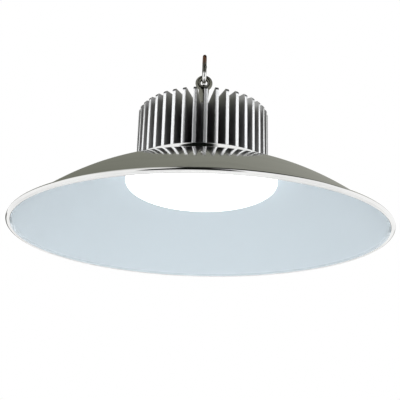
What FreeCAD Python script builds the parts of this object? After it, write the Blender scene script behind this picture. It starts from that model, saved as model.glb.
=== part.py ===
import FreeCAD, Part
import math
import os

os.makedirs("parts", exist_ok=True)

Vec = FreeCAD.Vector
ORIGIN = Vec(0, 0, 0)
X_AXIS = Vec(1, 0, 0)
Y_AXIS = Vec(0, 1, 0)
Z_AXIS = Vec(0, 0, 1)

# All sizes are millimetres. Z points up, z = 0 is the lowest line of the shade's rim.

# Fits
THREAD_PLAY = 0.05       # radial, between a screw and its tapped hole
SLIP_PLAY = 0.2          # radial, diffuser skirt over its collar
LOOSE_PLAY = 0.3         # between the swinging link and the eye
SCREW_HOLE_PLAY = 0.25   # radial, screw through a clearance hole
CUT = 1.0                # how far a cutter runs past the face it opens

# Shade, one spun sheet with an outward rolled rim
SHADE_R = 200.0          # over the rim
SHADE_T = 1.2
BEAD_R = 2.7
BEAD_END_DEG = 155.0     # where the curl stops, just clear of the sheet it rolls back to
NECK_Z = 68.2            # upper face of the flat neck
NECK_FLAT_R = 85.0       # the parts clamped to the neck are sized from this
NECK_SLOPE_DEG = 15.0    # fall of the dome where it leaves the neck
RIM_SLOPE_DEG = 44.0     # fall of the dome where it meets the rim
DOME_STEPS = 24

# Mounting disc, turned, carries everything
DISC_IN_FROM_NECK = 1.0  # disc edge inside the neck's bend
DISC_T = 5.6
DISC_EDGE = 0.4
GASKET_T = 0.8
GASKET_IN_FROM_DISC = 2.5

# Heat sink, extruded with radial fins, then turned
SINK_R = 72.3
SINK_H = 68.0
CORE_R = 34.0
FIN_COUNT = 40
FIN_TIP_T = 3.6
FIN_ROOT_T = 2.8
FIN_BURY = 1.5           # how far a fin root reaches into the round core
FIN_TOP_CHAMFER = 2.0

# Diffuser collar and diffuser
COLLAR_IN_FROM_NECK = 4.9
COLLAR_WALL = 11.7
NECK_LIP = 2.0           # the shade's neck reaches this far inside the collar
COLLAR_H = 6.0
COLLAR_EDGE = 0.7
SNAP_LOW = 4.0           # above the collar's lower face
SNAP_GAP_H = 1.5
SNAP_GAP_DEPTH = 0.9
SNAP_PLAY = 0.2
SEAL_LOW = 1.3
SEAL_H = 2.0
SEAL_DEPTH = 2.0
DIFFUSER_T = 2.2
DIFFUSER_FLOOR_T = 2.0
DIFFUSER_TOP_GAP = 0.2   # below the collar's upper face
DIFFUSER_FLAT_R = 40.0
DIFFUSER_CORNER_H = 13.5
DIFFUSER_CROWN = 0.5
CORNER_STEPS = 12
CROWN_STEPS = 4

# Light engine
PAD_IN_FROM_BOARD = 1.0
PAD_T = 0.5
BOARD_GAP = 2.5          # between the board and the neck's opening
BOARD_T = 1.6
LED_SIDE = 3.0
LED_H = 0.65
LED_EDGE = 6.0           # from the board's edge to the outer ring of packages
LED_RING_STEP = 9.0
LED_PITCH = 10.4         # least spacing along a ring
DRIVER_ZONE_R = 31.0     # the middle of the board, kept for the driver parts
TERMINAL_SIZE = (15.0, 9.0, 6.0)
TERMINAL_Y = 5.0
TERMINAL_POLES = 3
TERMINAL_PITCH = 4.6
TERMINAL_HOLE_R = 1.3
TERMINAL_HOLE_DEPTH = 6.0
DRIVER_SIZE = (5.0, 4.0, 1.6)
DRIVER_X = (-13.5, -4.5, 4.5, 13.5)
DRIVER_Y = -21.0
RECTIFIER_SIZE = (5.0, 4.6, 2.4)
RECTIFIER_X = (-7.0, 7.0)
RECTIFIER_Y = -10.0
VARISTOR_R = 5.0
VARISTOR_H = 4.2
VARISTOR_EDGE = 1.0
VARISTOR_XY = (-16.0, 5.0)
FUSE_SIZE = (2.7, 6.2, 2.6)
FUSE_XY = (14.0, 5.0)
CHIP_EDGE = 0.4

# Cable gland, M12, in the core behind the eye bolt
GLAND_Y = 21.0
GLAND_THREAD_R = 6.0
GLAND_STUB = 8.0
GLAND_HEX = 15.0
GLAND_BODY_H = 5.0
GLAND_NECK_H = 6.4
GLAND_CAP_GAP = 0.4
GLAND_CAP_H = 10.5
GLAND_CAP_HEX_H = 7.0
GLAND_CAP_TOP_R = 5.4
GLAND_MOUTH_R = 4.0
GLAND_SEAL_BORE_R = 3.5
GLAND_SEAL_R = 4.95
GLAND_SEAL_H = 7.1
GLAND_SEAL_FLOOR = 1.0   # above the body's hexagon
GLAND_RING_T = 1.0
GLAND_RING_R = 7.2
CABLE_BORE_R = 4.2
CABLE_EXIT_R = 5.0       # wider holes in disc, pad and board

# Eye bolt, lock nut, washer
EYE_WIRE_R = 3.0
EYE_HOLE_R = 3.8
EYE_Z = 183.6
BOLT_R = 5.0
BOLT_BURY = 20.0
BOLT_TIP = 1.0
NECK_LOW_DROP = 19.0     # below the eye's centre, where the neck becomes round
NECK_TOP_DROP = 4.0      # below the eye's centre, where the neck meets the ring
NECK_TOP_HALF_W = 8.8
NUT_FLATS = 17.0
NUT_H = 8.0
NUT_BEVEL = 1.0
WASHER_R = 10.0
WASHER_T = 2.0

# Hanging link, one welded oval of wire
LINK_WIRE_R = 2.25
LINK_INNER_HALF_W = 4.0
LINK_LENGTH = 37.0
WELD_OUT = 0.5           # how far the weld stands out of the wire
WELD_H = 6.0

# Screws: (shank radius, shank length, head radius, head height, count, start deg)
HUB_SCREW = (2.5, 16.0, 5.0, 2.8, 4, 45.0)
BOARD_SCREW = (1.5, 5.0, 2.75, 1.9, 6, 30.0)
COLLAR_SCREW = (2.0, 10.0, 3.5, 2.2, 8, 22.5)
HUB_INSET = 10.0         # hub screws inside the core's edge
COUNTERBORE_R = 3.8
COUNTERBORE_DEPTH = 2.4
SOCKET_RATIO = 0.45      # drive socket radius over head radius
SOCKET_DEPTH_RATIO = 0.5
TAP_SPARE = 1.0          # tapped depth beyond the screw's end

# Sizes and levels that follow from those above
disc_r = NECK_FLAT_R - DISC_IN_FROM_NECK
gasket_r = disc_r - GASKET_IN_FROM_DISC
collar_out_r = NECK_FLAT_R - COLLAR_IN_FROM_NECK
collar_in_r = collar_out_r - COLLAR_WALL
opening_r = collar_in_r - NECK_LIP
board_r = opening_r - BOARD_GAP
led_outer_r = board_r - LED_EDGE
led_ring_count = int((led_outer_r - DRIVER_ZONE_R) / LED_RING_STEP) + 1
led_rings = [led_outer_r - i * LED_RING_STEP for i in range(led_ring_count)]
hub_pitch_r = CORE_R - HUB_INSET
board_pitch_r = led_outer_r - LED_RING_STEP / 2
collar_pitch_r = (collar_in_r + collar_out_r - SEAL_DEPTH) / 2
disc_low = NECK_Z + GASKET_T
disc_top = disc_low + DISC_T
sink_top = disc_top + SINK_H
flange_low = NECK_Z - SHADE_T
collar_top = flange_low - GASKET_T
collar_low = collar_top - COLLAR_H
pad_low = disc_low - PAD_T
board_low = pad_low - BOARD_T
skirt_in_r = collar_out_r + SLIP_PLAY
skirt_out_r = skirt_in_r + DIFFUSER_T


def cylinder(radius, low, high, x=0.0, y=0.0):
    return Part.makeCylinder(radius, high - low, Vec(x, y, low), Z_AXIS)


def tube(outer, inner, low, high, x=0.0, y=0.0):
    return cylinder(outer, low, high, x, y).cut(cylinder(inner, low, high, x, y))


def box(x, y, low, size):
    dx, dy, dz = size
    return Part.makeBox(dx, dy, dz, Vec(x - dx / 2, y - dy / 2, low))


def lathe_edges(edges, x=0.0, y=0.0):
    face = Part.Face(Part.Wire(Part.__sortEdges__(edges)))
    solid = face.revolve(ORIGIN, Z_AXIS, 360)
    solid.translate(Vec(x, y, 0))
    return solid


def lathe(points, x=0.0, y=0.0):
    ring = [Vec(r, 0, z) for r, z in points]
    edges = [Part.makeLine(a, b) for a, b in zip(ring, ring[1:] + ring[:1])]
    return lathe_edges(edges, x, y)


def around(count, radius, start_deg=0.0):
    places = []
    for i in range(count):
        angle = math.radians(start_deg + 360.0 * i / count)
        places.append((radius * math.cos(angle), radius * math.sin(angle), math.degrees(angle)))
    return places


def screw_places(screw, pitch_r):
    return [(x, y) for x, y, _ in around(screw[4], pitch_r, screw[5])]


hub_places = screw_places(HUB_SCREW, hub_pitch_r)
board_places = screw_places(BOARD_SCREW, board_pitch_r)
collar_places = screw_places(COLLAR_SCREW, collar_pitch_r)


def hexagon(flats, low, high, x=0.0, y=0.0, bevel=0.0):
    corner = flats / math.sqrt(3)
    points = [Vec(x + px, y + py, low) for px, py, _ in around(6, corner)]
    prism = Part.Face(Part.makePolygon(points + points[:1])).extrude(Vec(0, 0, high - low))
    if bevel:
        turned = lathe([(0, low), (corner - bevel, low), (corner, low + bevel / 2),
                        (corner, high - bevel / 2), (corner - bevel, high), (0, high)], x, y)
        prism = prism.common(turned)
    return prism


def cut_all(solid, cutters):
    return solid.cut(Part.makeCompound(cutters))


def pan_screw(screw, seat, x, y):
    shank_r, length, head_r, head_h = screw[:4]
    crown = head_h / 3
    head = lathe([(0, seat - head_h), (head_r - crown, seat - head_h), (head_r, seat - head_h + crown),
                  (head_r, seat), (shank_r, seat), (shank_r, seat + length - shank_r / 3),
                  (shank_r * 2 / 3, seat + length), (0, seat + length)], x, y)
    depth = head_h * SOCKET_DEPTH_RATIO
    socket = hexagon(head_r * SOCKET_RATIO * math.sqrt(3), seat - head_h - CUT, seat - head_h + depth, x, y)
    return head.cut(socket)


def flat_screw(screw, seat, x, y):
    shank_r, length, head_r, head_h = screw[:4]
    head = lathe([(0, seat), (head_r, seat), (shank_r, seat + head_h),
                  (shank_r, seat + length - shank_r / 3), (shank_r * 2 / 3, seat + length),
                  (0, seat + length)], x, y)
    depth = head_h * SOCKET_DEPTH_RATIO
    socket = hexagon(head_r * SOCKET_RATIO * math.sqrt(3), seat - CUT, seat + depth, x, y)
    return head.cut(socket)


def save(name, solids):
    shape = solids[0] if len(solids) == 1 else Part.makeCompound(solids)
    shape.exportStep("parts/" + name + ".step")


def make_heat_sink():
    fin = Part.Face(Part.makePolygon([
        Vec(CORE_R - FIN_BURY, -FIN_ROOT_T / 2, disc_top),
        Vec(SINK_R + CUT, -FIN_TIP_T / 2, disc_top),
        Vec(SINK_R + CUT, FIN_TIP_T / 2, disc_top),
        Vec(CORE_R - FIN_BURY, FIN_ROOT_T / 2, disc_top),
        Vec(CORE_R - FIN_BURY, -FIN_ROOT_T / 2, disc_top)])).extrude(Vec(0, 0, SINK_H))
    turned = lathe([(0, disc_top), (SINK_R, disc_top), (SINK_R, sink_top - FIN_TOP_CHAMFER),
                    (SINK_R - FIN_TOP_CHAMFER, sink_top), (0, sink_top)])
    fin = fin.common(turned)
    fins = []
    for i in range(FIN_COUNT):
        copy = fin.copy()
        copy.rotate(ORIGIN, Z_AXIS, 360.0 * i / FIN_COUNT - 90)
        fins.append(copy)
    body = cylinder(CORE_R, disc_top, sink_top).multiFuse(fins).removeSplitter()
    cutters = [cylinder(BOLT_R + THREAD_PLAY, sink_top - BOLT_BURY - TAP_SPARE, sink_top + CUT),
               cylinder(GLAND_THREAD_R + THREAD_PLAY, sink_top - GLAND_STUB - TAP_SPARE,
                        sink_top + CUT, 0, GLAND_Y),
               cylinder(CABLE_BORE_R, disc_top - CUT, sink_top, 0, GLAND_Y)]
    for x, y in hub_places:
        cutters.append(cylinder(HUB_SCREW[0] + THREAD_PLAY, disc_top - CUT,
                                disc_low + HUB_SCREW[1] + TAP_SPARE, x, y))
    return cut_all(body, cutters)


def make_mounting_disc():
    edge = DISC_EDGE
    disc = lathe([(0, disc_low), (disc_r - edge, disc_low), (disc_r, disc_low + edge),
                  (disc_r, disc_top - edge), (disc_r - edge, disc_top), (0, disc_top)])
    cutters = [cylinder(CABLE_EXIT_R, disc_low - CUT, disc_top + CUT, 0, GLAND_Y)]
    shank_r, _, head_r, head_h = HUB_SCREW[:4]
    hole_r = shank_r + SCREW_HOLE_PLAY
    for x, y in hub_places:
        cutters.append(cylinder(hole_r, disc_low - CUT, disc_top + CUT, x, y))
        cutters.append(lathe([(0, disc_low), (head_r + THREAD_PLAY, disc_low),
                              (shank_r + THREAD_PLAY, disc_low + head_h), (0, disc_low + head_h)], x, y))
    for x, y in board_places:
        cutters.append(cylinder(BOARD_SCREW[0] + THREAD_PLAY, disc_low - CUT,
                                board_low + BOARD_SCREW[1] + TAP_SPARE / 2, x, y))
    for x, y in collar_places:
        cutters.append(cylinder(COLLAR_SCREW[0] + THREAD_PLAY, disc_low - CUT, disc_top + CUT, x, y))
    return cut_all(disc, cutters)


def neck_holes(low, high):
    radius = COLLAR_SCREW[0] + SCREW_HOLE_PLAY
    return [cylinder(radius, low - CUT, high + CUT, x, y) for x, y in collar_places]


def make_neck_gasket(low):
    ring = tube(gasket_r, collar_in_r, low, low + GASKET_T)
    return cut_all(ring, neck_holes(low, low + GASKET_T))


def make_shade():
    centre_r = SHADE_R - BEAD_R
    curl_in = BEAD_R - SHADE_T
    turn = math.radians(-RIM_SLOPE_DEG - 90)
    start = (NECK_FLAT_R, NECK_Z)
    end = (centre_r + curl_in * math.cos(turn), BEAD_R + curl_in * math.sin(turn))
    reach = math.hypot(end[0] - start[0], end[1] - start[1])
    slopes = (math.radians(-NECK_SLOPE_DEG), math.radians(-RIM_SLOPE_DEG))
    pull = [(reach * math.cos(s), reach * math.sin(s)) for s in slopes]
    upper = []
    under = []
    for i in range(DOME_STEPS + 1):
        t = i / DOME_STEPS
        place = (2 * t**3 - 3 * t**2 + 1, t**3 - 2 * t**2 + t, 3 * t**2 - 2 * t**3, t**3 - t**2)
        speed = (6 * t**2 - 6 * t, 3 * t**2 - 4 * t + 1, 6 * t - 6 * t**2, 3 * t**2 - 2 * t)
        knots = (start, pull[0], end, pull[1])
        r, z = (sum(w * k[axis] for w, k in zip(place, knots)) for axis in (0, 1))
        dr, dz = (sum(w * k[axis] for w, k in zip(speed, knots)) for axis in (0, 1))
        size = math.hypot(dr, dz)
        upper.append(Vec(r, 0, z))
        under.append(Vec(r + SHADE_T * dz / size, 0, z - SHADE_T * dr / size))
    curve_up = Part.BSplineCurve()
    curve_up.interpolate(upper)
    curve_low = Part.BSplineCurve()
    curve_low.interpolate(under)
    bend = Vec(NECK_FLAT_R - SHADE_T * math.tan(math.radians(NECK_SLOPE_DEG) / 2), 0, flange_low)

    def on_bead(radius, deg):
        angle = math.radians(deg)
        return Vec(centre_r + radius * math.cos(angle), 0, BEAD_R + radius * math.sin(angle))

    roll_from = -RIM_SLOPE_DEG - 90
    roll_mid = (roll_from + BEAD_END_DEG) / 2
    edges = [Part.makeLine(Vec(opening_r, 0, flange_low), Vec(opening_r, 0, NECK_Z)),
             Part.makeLine(Vec(opening_r, 0, NECK_Z), upper[0]),
             curve_up.toShape(),
             Part.Arc(upper[-1], on_bead(curl_in, roll_mid), on_bead(curl_in, BEAD_END_DEG)).toShape(),
             Part.makeLine(on_bead(curl_in, BEAD_END_DEG), on_bead(BEAD_R, BEAD_END_DEG)),
             Part.Arc(under[-1], on_bead(BEAD_R, roll_mid), on_bead(BEAD_R, BEAD_END_DEG)).toShape(),
             curve_low.toShape(),
             Part.makeLine(under[0], bend),
             Part.makeLine(bend, Vec(opening_r, 0, flange_low))]
    return cut_all(lathe_edges(edges), neck_holes(flange_low, NECK_Z))


def make_collar():
    snap_low = collar_low + SNAP_LOW
    seal_low = collar_low + SEAL_LOW
    out, deep = collar_out_r, collar_out_r - SEAL_DEPTH
    catch = out - SNAP_GAP_DEPTH
    collar = lathe([(collar_in_r, collar_low), (out - COLLAR_EDGE, collar_low),
                    (out, seal_low), (deep, seal_low), (deep, seal_low + SEAL_H),
                    (out, seal_low + SEAL_H), (out, snap_low), (catch, snap_low),
                    (catch, snap_low + SNAP_GAP_H), (out, snap_low + SNAP_GAP_H),
                    (out, collar_top), (collar_in_r, collar_top)])
    cutters = neck_holes(collar_low, collar_top)
    for x, y in collar_places:
        cutters.append(cylinder(COUNTERBORE_R, collar_low - CUT, collar_low + COUNTERBORE_DEPTH, x, y))
    return cut_all(collar, cutters)


def make_diffuser_seal():
    low = collar_low + SEAL_LOW
    high = low + SEAL_H
    inner = collar_out_r - SEAL_DEPTH
    outer = skirt_in_r - THREAD_PLAY
    edge = SEAL_H / 4
    return lathe([(inner, low), (outer - edge, low), (outer, low + edge),
                  (outer, high - edge), (outer - edge, high), (inner, high)])


def make_diffuser():
    top = collar_top - DIFFUSER_TOP_GAP
    turn_z = collar_low + SEAL_LOW
    floor_out = turn_z - DIFFUSER_CORNER_H
    floor_in = floor_out + DIFFUSER_FLOOR_T
    snap_low = collar_low + SNAP_LOW + SNAP_PLAY
    snap_high = snap_low + SNAP_GAP_H - 2 * SNAP_PLAY
    snap_in_r = collar_out_r - SNAP_GAP_DEPTH + SNAP_PLAY

    def smooth(points):
        curve = Part.BSplineCurve()
        curve.interpolate([Vec(r, 0, z) for r, z in points])
        return curve.toShape()

    def corner(reach, drop):
        angles = [math.radians(90.0 * i / CORNER_STEPS) for i in range(CORNER_STEPS + 1)]
        return smooth([(DIFFUSER_FLAT_R + reach * math.cos(a), turn_z - drop * math.sin(a))
                       for a in angles])

    def crown(level):
        shares = [i / CROWN_STEPS for i in range(CROWN_STEPS + 1)]
        return smooth([(DIFFUSER_FLAT_R * s, level - DIFFUSER_CROWN * (1 - s**2)) for s in shares])

    corner_out = corner(skirt_out_r - DIFFUSER_FLAT_R, DIFFUSER_CORNER_H)
    corner_in = corner(skirt_in_r - DIFFUSER_FLAT_R, DIFFUSER_CORNER_H - DIFFUSER_FLOOR_T)
    inside = [(skirt_in_r, turn_z), (skirt_in_r, snap_low), (snap_in_r, snap_low),
              (snap_in_r, snap_high), (skirt_in_r, snap_high), (skirt_in_r, top),
              (skirt_out_r, top), (skirt_out_r, turn_z)]
    walls = [Vec(r, 0, z) for r, z in inside]
    edges = [Part.makeLine(a, b) for a, b in zip(walls, walls[1:])]
    axis_line = Part.makeLine(Vec(0, 0, floor_out - DIFFUSER_CROWN), Vec(0, 0, floor_in - DIFFUSER_CROWN))
    edges += [corner_out, crown(floor_out), axis_line, crown(floor_in), corner_in]
    return lathe_edges(edges)


def make_thermal_pad():
    pad = cylinder(board_r - PAD_IN_FROM_BOARD, pad_low, disc_low)
    return cut_all(pad, board_holes(pad_low, disc_low))


def board_holes(low, high):
    holes = [cylinder(CABLE_EXIT_R, low - CUT, high + CUT, 0, GLAND_Y)]
    radius = BOARD_SCREW[0] + SCREW_HOLE_PLAY
    holes += [cylinder(radius, low - CUT, high + CUT, x, y) for x, y in board_places]
    return holes


def make_led_board():
    return cut_all(cylinder(board_r, board_low, pad_low), board_holes(board_low, pad_low))


def make_led_chips():
    chips = []
    for radius in led_rings:
        for x, y, deg in around(int(2 * math.pi * radius / LED_PITCH), radius):
            chip = box(0, 0, board_low - LED_H, (LED_SIDE, LED_SIDE, LED_H))
            chip.rotate(ORIGIN, Z_AXIS, deg)
            chip.translate(Vec(x, y, 0))
            chips.append(chip)
    return chips


def board_part(x, y, size):
    low = board_low - size[2]
    block = box(x, y, low, size)
    lower = [e for e in block.Edges if e.BoundBox.ZMax < low + CHIP_EDGE]
    return block.makeChamfer(CHIP_EDGE, lower)


def make_terminal_block():
    dx, dy, dz = TERMINAL_SIZE
    block = board_part(0, TERMINAL_Y, TERMINAL_SIZE)
    cutters = []
    for i in range(TERMINAL_POLES):
        x = (i - (TERMINAL_POLES - 1) / 2) * TERMINAL_PITCH
        mouth = Vec(x, TERMINAL_Y + dy / 2 - TERMINAL_HOLE_DEPTH, board_low - dz / 2)
        cutters.append(Part.makeCylinder(TERMINAL_HOLE_R, TERMINAL_HOLE_DEPTH + CUT, mouth, Y_AXIS))
    return cut_all(block, cutters)


def make_varistor():
    x, y = VARISTOR_XY
    low = board_low - VARISTOR_H
    return lathe([(0, low), (VARISTOR_R - VARISTOR_EDGE, low), (VARISTOR_R, low + VARISTOR_EDGE),
                  (VARISTOR_R, board_low - VARISTOR_EDGE), (VARISTOR_R - VARISTOR_EDGE, board_low),
                  (0, board_low)], x, y)


def make_eye_bolt():
    ring_r = EYE_HOLE_R + EYE_WIRE_R
    ring = Part.makeTorus(ring_r, EYE_WIRE_R, Vec(0, 0, EYE_Z), Y_AXIS)
    neck_low = EYE_Z - NECK_LOW_DROP
    foot = Part.Wire(Part.Circle(Vec(0, 0, neck_low), Z_AXIS, BOLT_R).toShape())
    brow = Part.Wire(Part.Ellipse(Vec(0, 0, EYE_Z - NECK_TOP_DROP), NECK_TOP_HALF_W, EYE_WIRE_R).toShape())
    neck = Part.makeLoft([foot, brow], True)
    end = sink_top - BOLT_BURY
    shank = lathe([(0, end), (BOLT_R - BOLT_TIP, end), (BOLT_R, end + BOLT_TIP),
                   (BOLT_R, neck_low), (0, neck_low)])
    hole = Part.makeCylinder(EYE_HOLE_R, 4 * EYE_WIRE_R, Vec(0, -2 * EYE_WIRE_R, EYE_Z), Y_AXIS)
    return neck.cut(hole).fuse(ring).fuse(shank).removeSplitter()


def make_lock_nut():
    low = sink_top + WASHER_T
    nut = hexagon(NUT_FLATS, low, low + NUT_H, bevel=NUT_BEVEL)
    return nut.cut(cylinder(BOLT_R + THREAD_PLAY, low - CUT, low + NUT_H + CUT))


def make_hanging_link():
    bend_r = LINK_INNER_HALF_W + LINK_WIRE_R
    low = EYE_Z + EYE_HOLE_R - LOOSE_PLAY - 2 * LINK_WIRE_R
    high = low + LINK_LENGTH
    low_centre = low + LINK_WIRE_R + bend_r
    high_centre = high - LINK_WIRE_R - bend_r
    half = Part.makeTorus(bend_r, LINK_WIRE_R, Vec(0, 0, low_centre), X_AXIS)
    side = 2 * (bend_r + LINK_WIRE_R)
    lower = half.common(Part.makeBox(side, side, side, Vec(-side / 2, -side / 2, low_centre - side)))
    upper = half.copy()
    upper.translate(Vec(0, 0, high_centre - low_centre))
    upper = upper.common(Part.makeBox(side, side, side, Vec(-side / 2, -side / 2, high_centre)))
    legs = [cylinder(LINK_WIRE_R, low_centre, high_centre, 0, y) for y in (-bend_r, bend_r)]
    middle = (low + high) / 2
    weld = lathe([(0, middle - WELD_H / 2), (LINK_WIRE_R, middle - WELD_H / 2),
                  (LINK_WIRE_R + WELD_OUT, middle - WELD_H / 5),
                  (LINK_WIRE_R + WELD_OUT, middle + WELD_H / 5),
                  (LINK_WIRE_R, middle + WELD_H / 2), (0, middle + WELD_H / 2)], 0, -bend_r)
    return lower.multiFuse([upper] + legs + [weld]).removeSplitter()


def make_gland():
    y = GLAND_Y
    seat = sink_top + GLAND_RING_T
    hex_top = seat + GLAND_BODY_H
    neck_top = hex_top + GLAND_NECK_H
    seal_low = hex_top + GLAND_SEAL_FLOOR
    cap_low = hex_top + GLAND_CAP_GAP
    cap_top = cap_low + GLAND_CAP_H
    mouth_low = seal_low + GLAND_SEAL_H + THREAD_PLAY
    seal_hole_r = GLAND_SEAL_R + THREAD_PLAY
    ring = tube(GLAND_RING_R, GLAND_THREAD_R + THREAD_PLAY, sink_top, seat, 0, y)
    body = hexagon(GLAND_HEX, seat, hex_top, 0, y)
    body = body.fuse(cylinder(GLAND_THREAD_R, sink_top - GLAND_STUB, neck_top, 0, y))
    body = cut_all(body, [cylinder(CABLE_BORE_R, sink_top - GLAND_STUB - CUT, neck_top, 0, y),
                          cylinder(seal_hole_r, seal_low, neck_top + CUT, 0, y)])
    seal = tube(GLAND_SEAL_R, GLAND_SEAL_BORE_R, seal_low, seal_low + GLAND_SEAL_H, 0, y)
    corner = GLAND_HEX / math.sqrt(3)
    dome = lathe([(0, cap_low), (corner, cap_low), (corner, cap_low + GLAND_CAP_HEX_H),
                  (GLAND_CAP_TOP_R, cap_top), (0, cap_top)], 0, y)
    cap = hexagon(GLAND_HEX, cap_low, cap_top, 0, y).common(dome)
    cap = cut_all(cap, [cylinder(GLAND_THREAD_R + THREAD_PLAY, cap_low - CUT, neck_top + THREAD_PLAY, 0, y),
                        cylinder(seal_hole_r, cap_low, mouth_low, 0, y),
                        cylinder(GLAND_MOUTH_R, cap_low, cap_top + CUT, 0, y)])
    return ring, body, seal, cap


collar_seat = collar_low + COUNTERBORE_DEPTH
save("heat_sink", [make_heat_sink()])
save("mounting_disc", [make_mounting_disc()])
save("shade", [make_shade()])
save("neck_gaskets", [make_neck_gasket(NECK_Z), make_neck_gasket(collar_top)])
save("diffuser_collar", [make_collar()])
save("diffuser_seal", [make_diffuser_seal()])
save("diffuser", [make_diffuser()])
save("thermal_pad", [make_thermal_pad()])
save("led_board", [make_led_board()])
save("led_chips", make_led_chips())
save("driver_chips", [board_part(x, DRIVER_Y, DRIVER_SIZE) for x in DRIVER_X])
save("rectifiers", [board_part(x, RECTIFIER_Y, RECTIFIER_SIZE) for x in RECTIFIER_X])
save("varistor", [make_varistor()])
save("fuse", [board_part(FUSE_XY[0], FUSE_XY[1], FUSE_SIZE)])
save("terminal_block", [make_terminal_block()])
save("hub_screws", [flat_screw(HUB_SCREW, disc_low, x, y) for x, y in hub_places])
save("board_screws", [pan_screw(BOARD_SCREW, board_low, x, y) for x, y in board_places])
save("collar_screws", [pan_screw(COLLAR_SCREW, collar_seat, x, y) for x, y in collar_places])
save("eye_bolt", [make_eye_bolt()])
save("eye_washer", [tube(WASHER_R, BOLT_R + SCREW_HOLE_PLAY, sink_top, sink_top + WASHER_T)])
save("eye_lock_nut", [make_lock_nut()])
save("hanging_link", [make_hanging_link()])
gland_ring, gland_body, gland_seal, gland_cap = make_gland()
save("gland_ring", [gland_ring])
save("gland_body", [gland_body])
save("gland_seal", [gland_seal])
save("gland_cap", [gland_cap])
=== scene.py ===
import math

import bmesh
import bpy
from bpy.props import FloatProperty, FloatVectorProperty, IntProperty, PointerProperty
from mathutils import Matrix, Quaternion, Vector


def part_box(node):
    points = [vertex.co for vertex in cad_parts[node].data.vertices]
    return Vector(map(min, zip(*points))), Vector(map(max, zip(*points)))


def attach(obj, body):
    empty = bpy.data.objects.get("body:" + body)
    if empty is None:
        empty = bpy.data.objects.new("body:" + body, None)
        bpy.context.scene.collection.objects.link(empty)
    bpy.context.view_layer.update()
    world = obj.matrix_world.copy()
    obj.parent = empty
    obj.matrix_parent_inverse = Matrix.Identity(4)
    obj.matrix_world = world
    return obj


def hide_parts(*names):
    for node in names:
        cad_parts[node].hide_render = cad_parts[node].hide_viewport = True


bl_info = {
    "name": "High bay light",
    "version": (1, 0, 0),
    "blender": (4, 5, 0),
    "location": "View3D > Sidebar > High bay",
    "description": "Builds the looks of a high bay light round its constructed frame",
    "category": "Object",
}

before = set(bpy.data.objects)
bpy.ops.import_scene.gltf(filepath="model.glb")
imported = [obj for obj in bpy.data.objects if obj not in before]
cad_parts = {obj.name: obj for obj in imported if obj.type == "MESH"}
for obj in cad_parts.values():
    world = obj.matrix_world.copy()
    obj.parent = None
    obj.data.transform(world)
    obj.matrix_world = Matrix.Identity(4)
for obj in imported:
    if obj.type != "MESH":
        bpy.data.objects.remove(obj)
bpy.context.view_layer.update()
BODY = "light"
LINK_BODY = "link"
THREAD_DEPTH = 0.55  # of the pitch


def span(node):
    low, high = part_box(node)
    return Vector(low), Vector(high)


def reach(node):
    low, high = span(node)
    return (high.x - low.x) / 2


def levels(node):
    low, high = span(node)
    return low.z, high.z


# Settings


class HIGHBAY_SinkSettings(bpy.types.PropertyGroup):
    fin_count: IntProperty(name="Fins", description="Fins round the core", default=40, min=8)
    core_radius: FloatProperty(
        name="Core radius", description="Radius of the solid core", default=0.034, unit="LENGTH")
    tip: FloatProperty(
        name="Fin tip", description="Fin thickness at the outside", default=0.0036, unit="LENGTH")
    root: FloatProperty(
        name="Fin root", description="Fin thickness at the core", default=0.0028, unit="LENGTH")
    chamfer: FloatProperty(
        name="Top bevel", description="Bevel at the top of each tip", default=0.002, unit="LENGTH")
    edge: FloatProperty(
        name="Edge", description="Broken edge on the fins", default=0.00025, unit="LENGTH")


class HIGHBAY_ShadeSettings(bpy.types.PropertyGroup):
    sheet: FloatProperty(name="Sheet", description="Sheet thickness", default=0.0012, unit="LENGTH")
    bead: FloatProperty(
        name="Bead", description="Radius of the rolled rim", default=0.0027, unit="LENGTH")
    bead_end: FloatProperty(
        name="Curl end", description="Where the curl stops", default=math.radians(155), subtype="ANGLE")
    neck_flat: FloatProperty(
        name="Neck flat", description="Radius of the flat neck", default=0.085, unit="LENGTH")
    neck_slope: FloatProperty(
        name="Neck slope", description="Fall of the dome at the neck",
        default=math.radians(15), subtype="ANGLE")
    rim_slope: FloatProperty(
        name="Rim slope", description="Fall of the dome at the rim",
        default=math.radians(44), subtype="ANGLE")
    opening: FloatProperty(
        name="Opening", description="Radius of the neck's opening", default=0.0685, unit="LENGTH")


class HIGHBAY_HangerSettings(bpy.types.PropertyGroup):
    eye_wire: FloatProperty(
        name="Eye wire", description="Radius of the eye's ring section", default=0.003, unit="LENGTH")
    bolt: FloatProperty(
        name="Bolt radius", description="Radius of the threaded shank", default=0.005, unit="LENGTH")
    pitch: FloatProperty(
        name="Thread pitch", description="Rise of one thread turn", default=0.0015, unit="LENGTH")
    thread_top: FloatProperty(
        name="Thread top", description="Thread length above the lock nut", default=0.0055, unit="LENGTH")
    nut_flats: FloatProperty(name="Nut", description="Across flats", default=0.017, unit="LENGTH")
    link_wire: FloatProperty(
        name="Link wire", description="Radius of the link's wire", default=0.00225, unit="LENGTH")
    weld: FloatProperty(
        name="Weld", description="How far the weld stands out", default=0.0005, unit="LENGTH")


class HIGHBAY_GlandSettings(bpy.types.PropertyGroup):
    flats: FloatProperty(
        name="Flats", description="Across flats of body and cap", default=0.015, unit="LENGTH")
    mouth: FloatProperty(
        name="Mouth", description="Radius of the cap's mouth", default=0.004, unit="LENGTH")
    cap_hex: FloatProperty(
        name="Cap hexagon", description="Height of the cap's hexagon", default=0.007, unit="LENGTH")


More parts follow.
